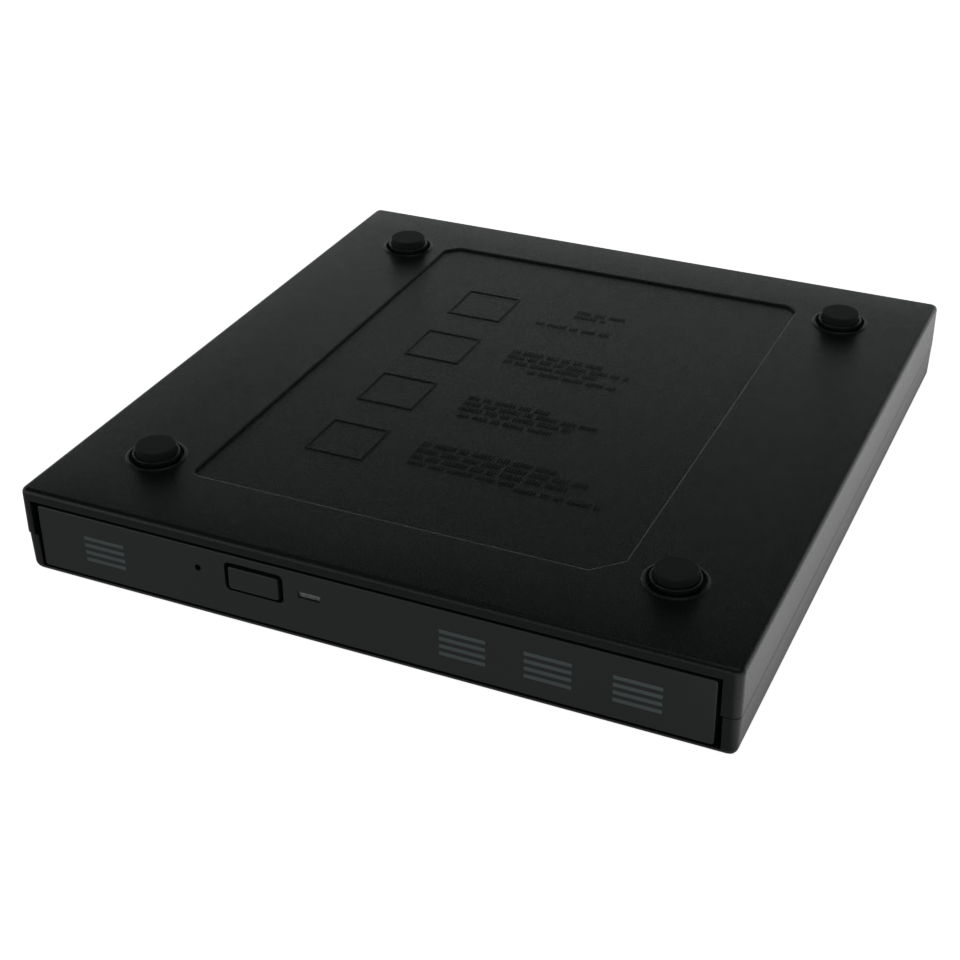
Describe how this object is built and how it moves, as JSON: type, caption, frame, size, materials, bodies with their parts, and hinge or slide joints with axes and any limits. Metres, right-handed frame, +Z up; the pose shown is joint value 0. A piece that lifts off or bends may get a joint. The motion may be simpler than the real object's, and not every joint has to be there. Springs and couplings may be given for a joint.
{
  "type": "external optical drive",
  "caption": "Flat black desktop disc drive on rubber feet: two-shell case around a slim drive whose tray slides out of the front on telescoping rails.",
  "frame": {"origin": "middle of the bounding box at the plane the rubber feet stand on", "axes": "+Z up from the feet to the top cover, bezel and button at -Y, +X to the right seen from the front"},
  "size_m": [0.1356, 0.142, 0.02],
  "materials": {
    "case_abs": "fine-grained satin black ABS",
    "bezel_abs": "smooth satin black ABS",
    "foot_rubber": "matt black rubber",
    "ring_rubber": "matt rubber",
    "board": "green solder mask",
    "chip": "moulded epoxy",
    "sheet_steel": "zinc-plated sheet",
    "bright_steel": "polished steel",
    "screw_steel": "black-nickel screws",
    "acetal": "natural acetal",
    "tray_abs": "black ABS",
    "dark_plastic": "glass-filled plastic",
    "connector_plastic": "connector body",
    "cable_film": "flat flexible cable",
    "lamp": "small LED",
    "clear": "clear acrylic",
    "lens_glass": "coated lens",
    "winding": "enamelled copper and core",
    "diecast": "die-cast"
  },
  "bodies": {
    "enclosure": {"bottom_shell": "case_abs", "top_cover": "case_abs", "rubber_feet": "foot_rubber", "bridge_pcb": "board", "bridge_screws": "screw_steel", "bridge_controller": "chip", "bridge_components": "chip", "usb_shell": "bright_steel", "usb_insert": "connector_plastic", "bridge_connector": "connector_plastic", "drive_screws": "screw_steel", "chassis": "sheet_steel", "drive_cover": "sheet_steel", "cover_screws": "screw_steel", "guide_right": "acetal", "guide_left": "acetal", "interface_pcb": "board", "drive_connector": "connector_plastic", "catch_pin": "bright_steel", "flex_cable": "cable_film"},
    "rail_right": {"rail_right": "sheet_steel"},
    "rail_left": {"rail_left": "sheet_steel"},
    "tray": {"tray": "tray_abs", "bezel": "bezel_abs", "tray_plate": "sheet_steel", "plate_screws": "screw_steel", "eject_switch": "chip", "front_pcb": "board", "status_led": "lamp", "light_guide": "clear", "solenoid": "sheet_steel", "ejector_spring": "bright_steel", "main_pcb": "board", "main_controller": "chip", "motor_driver": "chip", "board_components": "chip", "ffc_connector": "connector_plastic", "traverse_plate": "sheet_steel", "dampers": "ring_rubber", "damper_screws": "screw_steel", "guide_rods": "bright_steel", "spindle_base": "sheet_steel", "spindle_stator": "winding", "feed_bracket": "sheet_steel", "feed_motor": "sheet_steel"},
    "eject_button": {"eject_button": "bezel_abs", "switch_plunger": "acetal"},
    "latch_lever": {"latch_lever": "acetal"},
    "solenoid_plunger": {"solenoid_plunger": "bright_steel"},
    "ejector_rod": {"ejector_rod": "dark_plastic"},
    "turntable": {"turntable": "dark_plastic", "friction_ring": "ring_rubber"},
    "claw_a": {"clamp_claw_a": "acetal"},
    "claw_b": {"clamp_claw_b": "acetal"},
    "claw_c": {"clamp_claw_c": "acetal"},
    "lead_screw": {"lead_screw": "bright_steel"},
    "sled": {"sled": "diecast", "sled_nut": "acetal"},
    "lens": {"lens_holder": "dark_plastic", "objective_lens": "lens_glass"}
  },
  "joints": [
    {"name": "tray_slide", "type": "slide", "parent": "enclosure", "child": "tray", "axis": [0, -1, 0], "range_m": [0, 0.118], "deforming": ["flex_cable"]},
    {"name": "rail_right_slide", "type": "slide", "parent": "enclosure", "child": "rail_right", "axis": [0, -1, 0], "range_m": [0, 0.059]},
    {"name": "rail_left_slide", "type": "slide", "parent": "enclosure", "child": "rail_left", "axis": [0, -1, 0], "range_m": [0, 0.059]},
    {"name": "button_press", "type": "slide", "parent": "tray", "child": "eject_button", "axis": [0, 1, 0], "range_m": [0, 0.0005]},
    {"name": "latch_turn", "type": "hinge", "parent": "tray", "child": "latch_lever", "pos_m": [0.0495, -0.0605, 0.0088], "axis": [0, 0, 1], "range_deg": [0, 12]},
    {"name": "plunger_slide", "type": "slide", "parent": "tray", "child": "solenoid_plunger", "axis": [0, -1, 0], "range_m": [0, 0.0025]},
    {"name": "ejector_slide", "type": "slide", "parent": "tray", "child": "ejector_rod", "axis": [0, 1, 0], "range_m": [0, 0.0119], "deforming": ["ejector_spring"]},
    {"name": "disc_spin", "type": "hinge", "parent": "tray", "child": "turntable", "pos_m": [0, -0.0042, 0.014], "axis": [0, 0, 1], "continuous": true},
    {"name": "claw_a_slide", "type": "slide", "parent": "turntable", "child": "claw_a", "axis": [0.7071, 0.7071, 0], "range_m": [0, 0.0005]},
    {"name": "claw_b_slide", "type": "slide", "parent": "turntable", "child": "claw_b", "axis": [-0.9659, 0.2588, 0], "range_m": [0, 0.0005]},
    {"name": "claw_c_slide", "type": "slide", "parent": "turntable", "child": "claw_c", "axis": [0.2588, -0.9659, 0], "range_m": [0, 0.0005]},
    {"name": "sled_slide", "type": "slide", "parent": "tray", "child": "sled", "axis": [-0.7071, -0.7071, 0], "range_m": [0, 0.0345]},
    {"name": "screw_turn", "type": "hinge", "parent": "tray", "child": "lead_screw", "pos_m": [-0.0145, 0.0103, 0.00955], "axis": [-0.7071, -0.7071, 0], "range_deg": [0, 4142]},
    {"name": "lens_focus", "type": "slide", "parent": "sled", "child": "lens", "axis": [0, 0, 1], "range_m": [-0.0004, 0.0004]}
  ],
  "couplings": [
    {"joint": "rail_right_slide", "follows": "tray_slide", "ratio": 0.5},
    {"joint": "rail_left_slide", "follows": "tray_slide", "ratio": 0.5},
    {"joint": "ejector_slide", "follows": "tray_slide", "ratio": 0.1},
    {"joint": "latch_turn", "follows": "plunger_slide", "rad_per_m": 83.333},
    {"joint": "claw_b_slide", "follows": "claw_a_slide", "ratio": 1},
    {"joint": "claw_c_slide", "follows": "claw_a_slide", "ratio": 1},
    {"joint": "screw_turn", "follows": "sled_slide", "rad_per_m": 2094.4}
  ]
}
